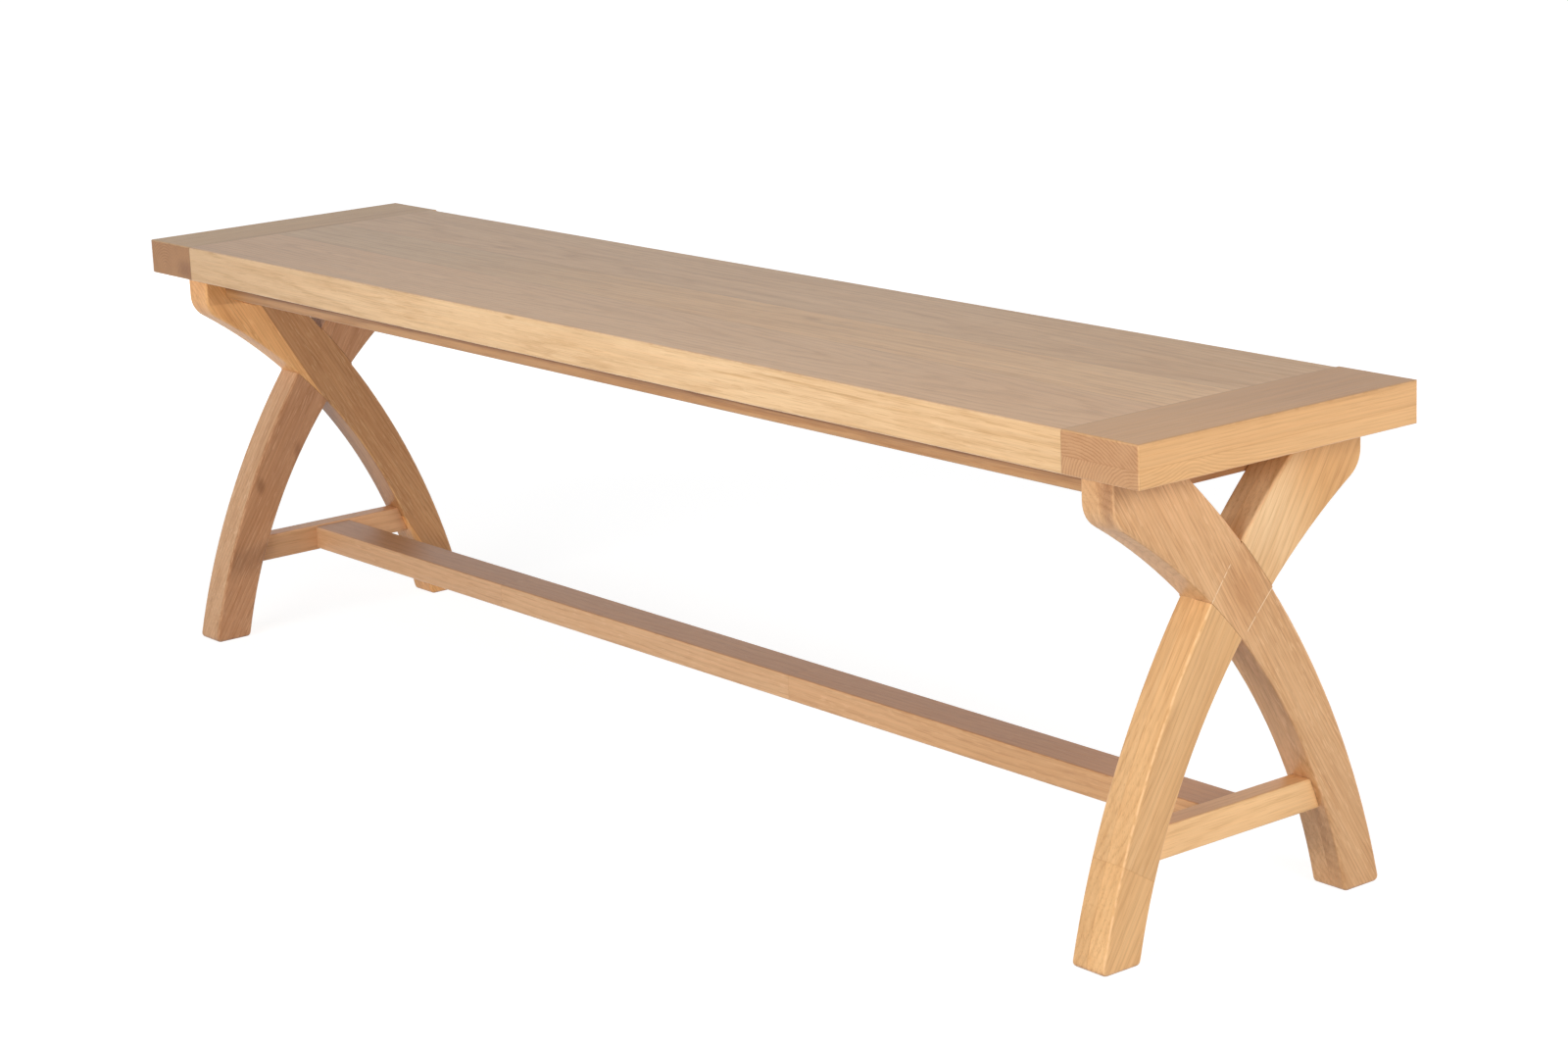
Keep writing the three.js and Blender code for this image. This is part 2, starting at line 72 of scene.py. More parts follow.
# Across one ring: the dark pores at its start, then ever paler wood
RING_PROFILE = [(0.0, 0.7), (0.08, 1.0), (0.36, 0.30), (0.7, 0.0), (0.94, 0.2), (1.0, 0.7)]
ARCH_SQUARENESS = 1500.0
ARCH_REACH = (0.16, 0.05)
BEND_IN_RINGS = 2.0
RAGGED_IN_RINGS = 0.7
SIDEWAYS_LEAN = 0.35
WEAKEST_RING = 0.45
THICK_SHARE = 0.45
BROAD_SHARE = 0.6
PORE_NEED = 0.66
PORE_EASE_IN_RING = 0.15
FLECK_CROWDING = 0.35
SEED_STEP = 0.37
CUT_SEED_STEP = 2.3

# Where a pattern starts to show and where it shows in full
RING_STRENGTH_EDGE = (0.2, 0.65)
PORE_EDGE = (-0.02, 0.08)
FLECK_EDGE = (0.61, 0.70)
STREAK_EDGE = (0.44, 0.70)
MOTTLE_EDGE = (0.47, 0.70)
# Where the pale patches on the arrises show and how large they are: partly wear, partly a painted highlight
PATCHY_WEAR_AND_HIGHLIGHT_EDGE = (0.30, 0.58)
PATCHY_WEAR_AND_HIGHLIGHT_SCALE = 110
BLOB_EDGE = (1.2, 0.2)
BLOB_RAGGEDNESS = 0.8

# The same for how far a face is turned to the grain, to one of the board's axes or upwards
END_FACING = (0.42, 0.95)
FLECK_FACING = (0.45, 0.15)
ARRIS_FACING = (0.96, 0.80)
# Upwards is where the painted light and shade of the top gains show
UP_FACING = (0.5, 0.9)

# The same for distances from a glue line and from the floor, where a contact shadow is painted, in metres
GLUE_EDGE = (0.0008, 0.0002)
GROUND_PAINTED_SHADOW_EDGE = (0.0022, 0.0006)

# Linear gains of the wood's marks on its base colour, and how strongly some of them show
RING_SHADE = (0.72, 0.60, 0.46)
STREAK_SHADE = (0.78, 0.68, 0.56)
MOTTLE_SHADE = (0.78, 0.67, 0.54)
PORE_SHADE = (0.62, 0.50, 0.38)
FLECK_SHINE = (1.22, 1.36, 1.55)
GLUE_SHADE = (0.92, 0.87, 0.82)
# A painted contact shadow along the bottom of the feet, where they stand on the floor
GROUND_PAINTED_SHADOW = (0.55, 0.50, 0.48)
GROUND_PAINTED_SHADOW_STRENGTH = 0.8
END_RING_STRENGTH = 0.95
RED_WARMTH = 0.75
BLUE_WARMTH = 1.35
# How pale the arrises are drawn: partly worn, partly a painted highlight
WEAR_AND_HIGHLIGHT_GAIN = 1.22
WEAR_AND_HIGHLIGHT_LIFT = 0.06

# The lacquer, and the relief of the grain under it
LACQUER_ROUGHNESS = 0.34
FIBRE_ROUGHNESS = 0.16
ARRIS_SHINE = 0.06
LACQUER_IOR = 1.5
PORE_DEPTH = -0.8
FIBRE_HEIGHT = 0.35
RING_DEPTH = -0.15
BUMP_STRENGTH = 0.22
BUMP_DISTANCE = 0.0004

# Joints between boards: sRGB colours from 0 to 255, and how strong and wide they show
SEAM_SHADE = (140, 98, 64)
PALE_SEAM_SHADE = (150, 104, 66)
SEAM_STRENGTH = 0.30
SEAM_EDGE = (1.6, 0.6)
SEAM_HALF_WIDTH = 0.0005
END_SEAM_HALF_WIDTH = 0.0008

# Layout lines scribed at the right frame's crossing: which edge they follow, from and to what height
SCRIBES = ((LEG_OUTER, 0.290, 0.324), (LEG_INNER, 0.262, 0.300))
SCRIBE_HALF_WIDTH = 0.0002
SCRIBE_FADE = 0.00055
SCRIBE_TIP = 0.002
SCRIBE_BREAKS = 160
SCRIBE_BREAK_EDGE = (0.34, 0.46)
SCRIBE_SHADE = (240, 212, 176)
FACE_SKIN = 0.0005

# The screws' zinc, from its dark to its pale clouds
ZINC_CLOUDS = 260
ZINC_PROFILE = [(0.3, (0.50, 0.50, 0.50)), (0.7, (0.66, 0.65, 0.62))]
ZINC_ROUGHNESS = 0.24
CLOUD_ROUGHNESS = 0.25

WELD_DISTANCE = 0.00002
SHARP_ANGLE = math.radians(36)

# The floor's grey for light that bounces onto the bench and for the camera, and the glow that only the
# camera sees, which is weaker near the bench, so that its shadow shows
FLOOR_REACH = 9.0
FLOOR_BOUNCE = 0.66
FLOOR_SEEN = 0.32
GLOW_NEAR = 0.86
GLOW_RISE = 0.14
GLOW_NEAR_RADIUS = 1.1
GLOW_FAR_RADIUS = 2.2

AMBIENT = 0.18
# Name, place, target, width, height, power in watts. The rear and left ones fill in below the seat's top.
SOFTBOXES = (
    ("front_box", (0.35, -2.8, 1.17), (0.10, 0, 0.3), 2.2, 0.6, 63),
    ("right_box", (2.9, -0.1, 1.20), (0.6, 0, 0.3), 1.4, 1.2, 34),
    ("rear_box", (0.9, 3.0, 0.25), (0.2, 0, 0.25), 2.4, 0.42, 54),
    ("left_box", (-3.2, 0.3, 0.25), (-0.6, 0, 0.25), 1.4, 0.42, 28),
)


def arc(low, high, bow):
    """Centre (y, z) and radius of the arc through two points, in metres."""
    low, high = Vector(low) * MM, Vector(high) * MM
    bow = bow * MM
    half = (low - high).length / 2
    radius = (half * half + bow * bow) / (2 * bow)
    inward = Vector((low.y - high.y, high.x - low.x)).normalized()
    centre = (low + high) / 2 + inward * (radius - bow)
    return centre, radius


def linear(rgb):
    """An sRGB colour given from 0 to 255 as a linear one."""
    out = []
    for value in rgb:
        c = value / 255
        out.append(c / 12.92 if c <= 0.04045 else ((c + 0.055) / 1.055) ** 2.4)
    return tuple(out)


def shaded(colour, gain):
    return tuple(c * g for c, g in zip(colour, gain))


def brightened(colour, gain, lift=0.0):
    return tuple(min(1.0, c * g + lift) for c, g in zip(colour, gain))


class Net:
    """Short ways to add and join nodes in one tree."""

    def __init__(self, tree):
        self.tree = tree

    def add(self, kind, **settings):
        made = self.tree.nodes.new(kind)
        for key, value in settings.items():
            setattr(made, key, value)
        return made

    def put(self, socket, value):
        if isinstance(value, bpy.types.NodeSocket):
            self.tree.links.new(value, socket)
        else:
            socket.default_value = value

    def math(self, operation, a, b=0.0, clamp=False):
        made = self.add("ShaderNodeMath", operation=operation, use_clamp=clamp)
        for socket, value in zip(made.inputs, (a, b)):
            self.put(socket, value)
        return made.outputs[0]

    def plus(self, a, b):
        return self.math("ADD", a, b)

    def times(self, a, b):
        return self.math("MULTIPLY", a, b)

    def rest(self, a):
        """What is missing to 1."""
        return self.math("SUBTRACT", 1.0, a)

    def size(self, a):
        return self.math("ABSOLUTE", a)

    def swing(self, pattern, amount):
        """A pattern from 0 to 1 as a change about zero."""
        return self.times(self.math("SUBTRACT", pattern, 0.5), amount)

    def vector(self, operation, a, b=(0, 0, 0), scale=1.0):
        made = self.add("ShaderNodeVectorMath", operation=operation)
        self.put(made.inputs[0], a)
        if operation == "SCALE":
            self.put(made.inputs["Scale"], scale)
        elif len(made.inputs) > 1:
            self.put(made.inputs[1], b)
        return made.outputs["Value" if operation in ("DOT_PRODUCT", "LENGTH") else "Vector"]

    def split(self, a):
        made = self.add("ShaderNodeSeparateXYZ")
        self.put(made.inputs[0], a)
        return made.outputs

    def combine(self, x, y, z):
        made = self.add("ShaderNodeCombineXYZ")
        for socket, value in zip(made.inputs, (x, y, z)):
            self.put(socket, value)
        return made.outputs[0]

    def noise(self, point, scale=1.0, detail=2.0, roughness=0.5, stretch=(1, 1, 1)):
        made = self.add("ShaderNodeTexNoise", noise_dimensions="3D")
        self.put(made.inputs["Vector"], self.vector("MULTIPLY", point, stretch))
        made.inputs["Scale"].default_value = scale
        made.inputs["Detail"].default_value = detail
        made.inputs["Roughness"].default_value = roughness
        return made.outputs["Fac"]

    def ramp(self, factor, stops):
        made = self.add("ShaderNodeValToRGB")
        elements = made.color_ramp.elements
        while len(elements) < len(stops):
            elements.new(1.0)
        for element, (place, colour) in zip(elements, stops):
            element.position = place
            if isinstance(colour, (int, float)):
                colour = (colour, colour, colour)
            element.color = (*colour, 1)
        self.put(made.inputs[0], factor)
        return made.outputs[0]

    def between(self, value, low, high):
        """0 at low, 1 at high, smooth between, also where low is the greater."""
        made = self.add("ShaderNodeMapRange", interpolation_type="SMOOTHSTEP")
        self.put(made.inputs["Value"], value)
        made.inputs["From Min"].default_value = low
        made.inputs["From Max"].default_value = high
        return made.outputs["Result"]

    def mix(self, factor, a, b, blend="MIX"):
        made = self.add("ShaderNodeMix", data_type="RGBA", blend_type=blend)
        self.put(made.inputs["Factor"], factor)
        for socket, value in ((made.inputs[6], a), (made.inputs[7], b)):
            if not isinstance(value, bpy.types.NodeSocket):
                value = (*value[:3], 1)
            self.put(socket, value)
        return made.outputs[2]

    def shade(self, amount, colour, gain):
        return self.mix(amount, colour, gain, blend="MULTIPLY")


def new_material(name):
    """An empty node material, as (material, its net)."""
    material = bpy.data.materials.new(name)
    material.use_nodes = True
    material.node_tree.nodes.clear()
    return material, Net(material.node_tree)


def oak_group():
    """Solid oak as patterns in space, with the grain along X.

    They are the rings about a pith line, the fibres, pores, ray flecks, broad tone, streaks and mottling.
    """
    tree = bpy.data.node_groups.new("solid_oak", "ShaderNodeTree")
    face = tree.interface
    for name in ("Point", "Pith"):
        face.new_socket(name, in_out="INPUT", socket_type="NodeSocketVector")
    for name in ("Slope", "Bow", "Spacing", "Wander", "Seed"):
        face.new_socket(name, in_out="INPUT", socket_type="NodeSocketFloat")
    for name in ("Ring", "Fibre", "Pore", "Fleck", "Tone", "Streak", "Mottle"):
        face.new_socket(name, in_out="OUTPUT", socket_type="NodeSocketFloat")
    net = Net(tree)
    given = net.add("NodeGroupInput").outputs
    out = net.add("NodeGroupOutput").inputs

    along = net.split(given["Point"])[0]
    point = net.vector("ADD", given["Point"], net.combine(net.times(given["Seed"], SEED_STEP), 0.0, 0.0))

    slow = net.noise(point, stretch=SLOW_BEND, detail=1.0)
    bend = net.noise(point, stretch=BEND)
    ragged = net.noise(point, stretch=RAGGED_EDGE)
    lean = net.times(along, given["Slope"])
    across = net.split(net.vector("SUBTRACT", given["Point"], given["Pith"]))
    side = net.plus(across[1], net.times(lean, SIDEWAYS_LEAN))
    square = net.times(along, along)
    rise = net.math("DIVIDE", square, net.plus(1.0, net.times(square, ARCH_SQUARENESS)))
    depth = net.plus(net.plus(across[2], lean), net.times(rise, given["Bow"]))
    radius = net.vector("LENGTH", net.combine(0.0, side, depth))
    phase = net.math("DIVIDE", radius, given["Spacing"])
    for field, amount in ((slow, given["Wander"]), (bend, BEND_IN_RINGS), (ragged, RAGGED_IN_RINGS)):
        phase = net.plus(phase, net.swing(field, amount))
    ring = net.ramp(net.math("FRACT", phase), RING_PROFILE)
    strength = net.between(net.noise(point, stretch=RING_STRENGTH, detail=1.0), *RING_STRENGTH_EDGE)
    ring = net.times(ring, net.plus(WEAKEST_RING, net.times(strength, 1.0 - WEAKEST_RING)))
    net.put(out["Ring"], ring)

    thick = net.noise(point, stretch=THICK_FIBRE, roughness=0.6)
    thin = net.noise(point, stretch=THIN_FIBRE, detail=1.0)
    net.put(out["Fibre"], net.plus(net.times(thick, THICK_SHARE), net.times(thin, 1.0 - THICK_SHARE)))
    dash = net.noise(point, stretch=PORE_DASH, detail=0.0)
    needed = net.math("SUBTRACT", PORE_NEED, net.times(ring, PORE_EASE_IN_RING))
    net.put(out["Pore"], net.between(net.math("SUBTRACT", dash, needed), *PORE_EDGE))
    stroke = net.noise(point, stretch=FLECK_STROKE, detail=1.0)
    crowd = net.noise(point, stretch=FLECK_CROWD, detail=1.0)
    net.put(out["Fleck"], net.between(net.plus(stroke, net.swing(crowd, FLECK_CROWDING)), *FLECK_EDGE))
    streak = net.noise(point, stretch=STREAK, roughness=0.6)
    net.put(out["Streak"], net.between(streak, *STREAK_EDGE))
    mottle = net.noise(point, stretch=MOTTLE, detail=3.0, roughness=0.6)
    net.put(out["Mottle"], net.between(mottle, *MOTTLE_EDGE))
    broad = net.noise(point, stretch=BROAD_TONE)
    patch = net.noise(point, stretch=PATCH_TONE)
    net.put(out["Tone"], net.plus(net.times(broad, BROAD_SHARE), net.times(patch, 1.0 - BROAD_SHARE)))
    return tree


OAK = oak_group()


def grain_frame(along, origin, depth_axis):
    """Rows that turn the bench's axes into (along the grain, across it, into the board), and an origin."""
    u = Vector(along).normalized()
    w = Vector(depth_axis)
    w = (w - u * w.dot(u)).normalized()
    v = w.cross(u)
    return Matrix((u, v, w)), Vector(origin)


def board_grain(axes, origin):
    return grain_frame(axes[0], origin, axes[1])


def leg_grain(foot, x):
    side = 1 if foot == "rear" else -1
    return grain_frame((0, side * LEG_RUN_Y, LEG_RUN_Z), (x, 0, LEG_GRAIN_Z), (1, 0, 0))


def oak(name, grain, colour, pith=(0.0, -0.05), spacing=0.0042, slope=0.02, wander=5.0,
        rings=0.3, fibres=0.34, pores=0.35, flecks=0.0, tone=0.24, streaks=0.15, mottle=0.15,
        cuts=(), blobs=(), end_grain=(0.90, 0.85, 0.80), square=True, wear_and_highlight=0.30,
        bow=0.0, calm=1.0, top=None, seed=0.0, marks=None):
    """One board's lacquered oak, with its pith at (v, w) of its grain's frame.

    The colour is sRGB from 0 to 255, and all gains are linear.
    Each cut is a glue line: (axis of the grain's frame, place, gain beyond it, shift of the pith beyond it).
    With a bow the rings arch lengthways before the first cut, and elsewhere they show as much as calm says.
    Each blob is a knot, a stain, a painted shade or a painted light: (centre, reach, gain), in world metres.
    End_grain is a gain on the cut ends, and top a gain that paints light and shade on faces that look up.
    Wear is how pale the arrises are, partly worn and partly a painted highlight. Square boards have all
    their arrises pale, and others only those of their two broad faces.
    """
    turn, origin = grain
    material, net = new_material(name)
    place = net.add("ShaderNodeTexCoord").outputs
    here = net.vector("SUBTRACT", place["Object"], tuple(origin))
    parts = [net.vector("DOT_PRODUCT", here, tuple(row)) for row in turn]
    centre = (0.0, *pith)
    tint = None
    for i, (axis, at, gain, move) in enumerate(cuts):
        beyond = net.math("GREATER_THAN", parts[axis], at)
        if i == 0 and bow:
            before = net.rest(beyond)
            bow = net.times(before, bow)
            arch = net.times(before, net.between(net.size(parts[0]), *ARCH_REACH))
            calm = net.plus(calm, net.times(arch, 1.0 - calm))
        seed = net.plus(seed, net.times(beyond, CUT_SEED_STEP + i))
        centre = net.vector("ADD", centre, net.vector("SCALE", (0.0, *move), scale=beyond))
        glue = net.between(net.size(net.math("SUBTRACT", parts[axis], at)), *GLUE_EDGE)
        layer = net.shade(glue, net.mix(beyond, (1, 1, 1), gain), GLUE_SHADE)
        tint = layer if tint is None else net.vector("MULTIPLY", tint, layer)

    wood = net.add("ShaderNodeGroup", node_tree=OAK)
    for socket, value in (("Point", net.combine(*parts)), ("Pith", centre), ("Slope", slope),
                          ("Bow", bow), ("Spacing", spacing), ("Wander", wander), ("Seed", seed)):
        net.put(wood.inputs[socket], value)
    grown = wood.outputs
    ring, fibre, pore = grown["Ring"], grown["Fibre"], grown["Pore"]

    normal = [net.size(net.vector("DOT_PRODUCT", place["Normal"], tuple(row))) for row in turn]
    cut_end = net.between(normal[0], *END_FACING)
    ring_show = net.times(net.times(calm, rings), net.rest(cut_end))
    ring_show = net.plus(ring_show, net.times(cut_end, END_RING_STRENGTH))

    base = linear(colour)
    paint = net.mix(net.times(ring, ring_show), base, shaded(base, RING_SHADE))
    paint = net.shade(net.times(grown["Streak"], streaks), paint, STREAK_SHADE)
    paint = net.shade(net.times(grown["Mottle"], mottle), paint, MOTTLE_SHADE)
    paint = net.vector("SCALE", paint, scale=net.plus(net.swing(fibre, fibres), 1.0))
    warm = net.swing(grown["Tone"], tone)
    paint = net.vector("MULTIPLY", paint, net.combine(
        net.plus(1.0, net.times(warm, RED_WARMTH)),
        net.plus(1.0, warm),
        net.plus(1.0, net.times(warm, BLUE_WARMTH))))
    paint = net.mix(net.times(pore, pores), paint, shaded(base, PORE_SHADE))
    if flecks > 0:
        fleck = net.times(grown["Fleck"], net.between(normal[0], *FLECK_FACING))
        paint = net.mix(net.times(fleck, flecks), paint, brightened(base, FLECK_SHINE))
    if tint is not None:
        paint = net.vector("MULTIPLY", paint, tint)
    for spot, reach, gain in blobs:
        off = net.vector("SUBTRACT", place["Object"], spot)
        far = net.vector("LENGTH", net.vector("DIVIDE", off, reach))
        far = net.plus(far, net.swing(fibre, BLOB_RAGGEDNESS))
        paint = net.shade(net.between(far, *BLOB_EDGE), paint, gain)
    paint = net.shade(cut_end, paint, end_grain)

    if square:
        flat = net.math("MAXIMUM", net.math("MAXIMUM", normal[0], normal[1]), normal[2])
    else:
        edge = net.vector("LENGTH", net.combine(normal[0], normal[1], 0.0))
        flat = net.math("MAXIMUM", normal[2], edge)
    # Pale arrises, partly worn and partly a painted highlight where the rounded edges catch the light
    patchy_wear_and_highlight = net.between(net.noise(place["Object"], scale=PATCHY_WEAR_AND_HIGHLIGHT_SCALE), *PATCHY_WEAR_AND_HIGHLIGHT_EDGE)
    arris = net.times(net.between(flat, *ARRIS_FACING), patchy_wear_and_highlight)
    paint = net.mix(net.times(arris, wear_and_highlight), paint, brightened(base, (WEAR_AND_HIGHLIGHT_GAIN,) * 3, WEAR_AND_HIGHLIGHT_LIFT))
    # Painted light and shade: faces that look up are tinted by the top gain
    if top:
        up = net.between(net.split(place["Normal"])[2], *UP_FACING)
        paint = net.shade(up, paint, top)
    # A painted contact shadow where the wood meets the floor
    painted_ground_shadow = net.between(net.split(place["Object"])[2], *GROUND_PAINTED_SHADOW_EDGE)
    paint = net.shade(net.times(painted_ground_shadow, GROUND_PAINTED_SHADOW_STRENGTH), paint, GROUND_PAINTED_SHADOW)
    if marks:
        line, shade = marks(net, place["Object"])
        paint = net.mix(line, paint, linear(shade))

    shader = net.add("ShaderNodeBsdfPrincipled")
    net.put(shader.inputs["Base Color"], paint)
    gloss = net.plus(LACQUER_ROUGHNESS, net.times(fibre, FIBRE_ROUGHNESS))
    gloss = net.math("SUBTRACT", gloss, net.times(arris, ARRIS_SHINE))
    net.put(shader.inputs["Roughness"], gloss)
    shader.inputs["IOR"].default_value = LACQUER_IOR
    height = net.plus(net.times(pore, PORE_DEPTH), net.times(fibre, FIBRE_HEIGHT))
    height = net.plus(height, net.times(ring, RING_DEPTH))
    bump = net.add("ShaderNodeBump")
    bump.inputs["Strength"].default_value = BUMP_STRENGTH
    bump.inputs["Distance"].default_value = BUMP_DISTANCE
    net.put(bump.inputs["Height"], height)
    net.put(shader.inputs["Normal"], bump.outputs[0])
    end = net.add("ShaderNodeOutputMaterial")
    net.put(end.inputs[0], shader.outputs[0])
    return material


def hairlines(planes, shade, half_width=SEAM_HALF_WIDTH):
    """Marks the thin dark joint where a board meets its neighbour at each (axis, place)."""
    def lines(net, place):
        ends = net.split(place)
        mask = None
        for axis, at in planes:
            gap = net.size(net.math("SUBTRACT", ends[axis], at))
            line = net.between(gap, half_width * SEAM_EDGE[0], half_width * SEAM_EDGE[1])
            mask = line if mask is None else net.math("MAXIMUM", mask, line)
        return net.times(mask, SEAM_STRENGTH), shade
    return lines


def lap_scribes(net, place):
    """Fine pale layout lines that follow the other leg's edges over the crossing."""
    x, y, z = net.split(place)
    lines = None
    for shape, low, high in SCRIBES:
        centre, radius = arc(**shape)
        away = net.vector("LENGTH", net.combine(
            0.0, net.plus(y, centre.x), net.math("SUBTRACT", z, centre.y)))
        near = net.size(net.math("SUBTRACT", away, radius))
        line = net.rest(net.between(near, SCRIBE_HALF_WIDTH, SCRIBE_FADE))
        line = net.times(line, net.between(z, low, low + SCRIBE_TIP))
        line = net.times(line, net.rest(net.between(z, high, high + SCRIBE_TIP)))
        lines = line if lines is None else net.math("MAXIMUM", lines, line)
    face = net.math("GREATER_THAN", x, FRAME_OUTER_X - FACE_SKIN)
    broken = net.between(net.noise(place, scale=SCRIBE_BREAKS, detail=1), *SCRIBE_BREAK_EDGE)
    return net.times(net.times(lines, face), broken), SCRIBE_SHADE


def plated_steel():
    """Zinc-plated steel, clouded, for the screws."""
    material = bpy.data.materials.new("plated_steel")
    material.use_nodes = True
    net = Net(material.node_tree)
    shader = material.node_tree.nodes["Principled BSDF"]
    place = net.add("ShaderNodeTexCoord").outputs["Object"]
    cloud = net.noise(place, scale=ZINC_CLOUDS, detail=3)
    net.put(shader.inputs["Base Color"], net.ramp(cloud, ZINC_PROFILE))
    net.put(shader.inputs["Roughness"], net.plus(ZINC_ROUGHNESS, net.times(cloud, CLOUD_ROUGHNESS)))
    shader.inputs["Metallic"].default_value = 1.0
    return material


def smooth_group():
    """Shades smooth across shallow edges and keeps the sharp ones, as a modifier."""
    tree = bpy.data.node_groups.new("smooth_by_angle", "GeometryNodeTree")
    for in_out in ("INPUT", "OUTPUT"):
        tree.interface.new_socket("Geometry", in_out=in_out, socket_type="NodeSocketGeometry")
    add, link = tree.nodes.new, tree.links.new
    start, end = add("NodeGroupInput"), add("NodeGroupOutput")
    faces, edges = add("GeometryNodeSetShadeSmooth"), add("GeometryNodeSetShadeSmooth")
    faces.domain, edges.domain = "FACE", "EDGE"
    angle = add("GeometryNodeInputMeshEdgeAngle")
    compare = add("FunctionNodeCompare")
    compare.data_type, compare.operation = "FLOAT", "LESS_THAN"
    compare.inputs[1].default_value = SHARP_ANGLE
    link(start.outputs[0], faces.inputs["Geometry"])
    link(faces.outputs[0], edges.inputs["Geometry"])
    link(angle.outputs["Unsigned Angle"], compare.inputs[0])
    link(compare.outputs[0], edges.inputs["Shade Smooth"])
    link(edges.outputs[0], end.inputs[0])
    return tree


SMOOTH = smooth_group()


def dress(name, material):
    """Gives a CAD node its material and smooth shading, without touching its mesh."""
    obj = nodes[name]
    assert len(obj.material_slots) > 0
    for slot in obj.material_slots:
        slot.material = material
    weld = obj.modifiers.new("weld", "WELD")
    weld.merge_threshold = WELD_DISTANCE
    soft = obj.modifiers.new("soft", "NODES")
    soft.node_group = SMOOTH
    even = obj.modifiers.new("even", "WEIGHTED_NORMAL")
    even.keep_sharp = True


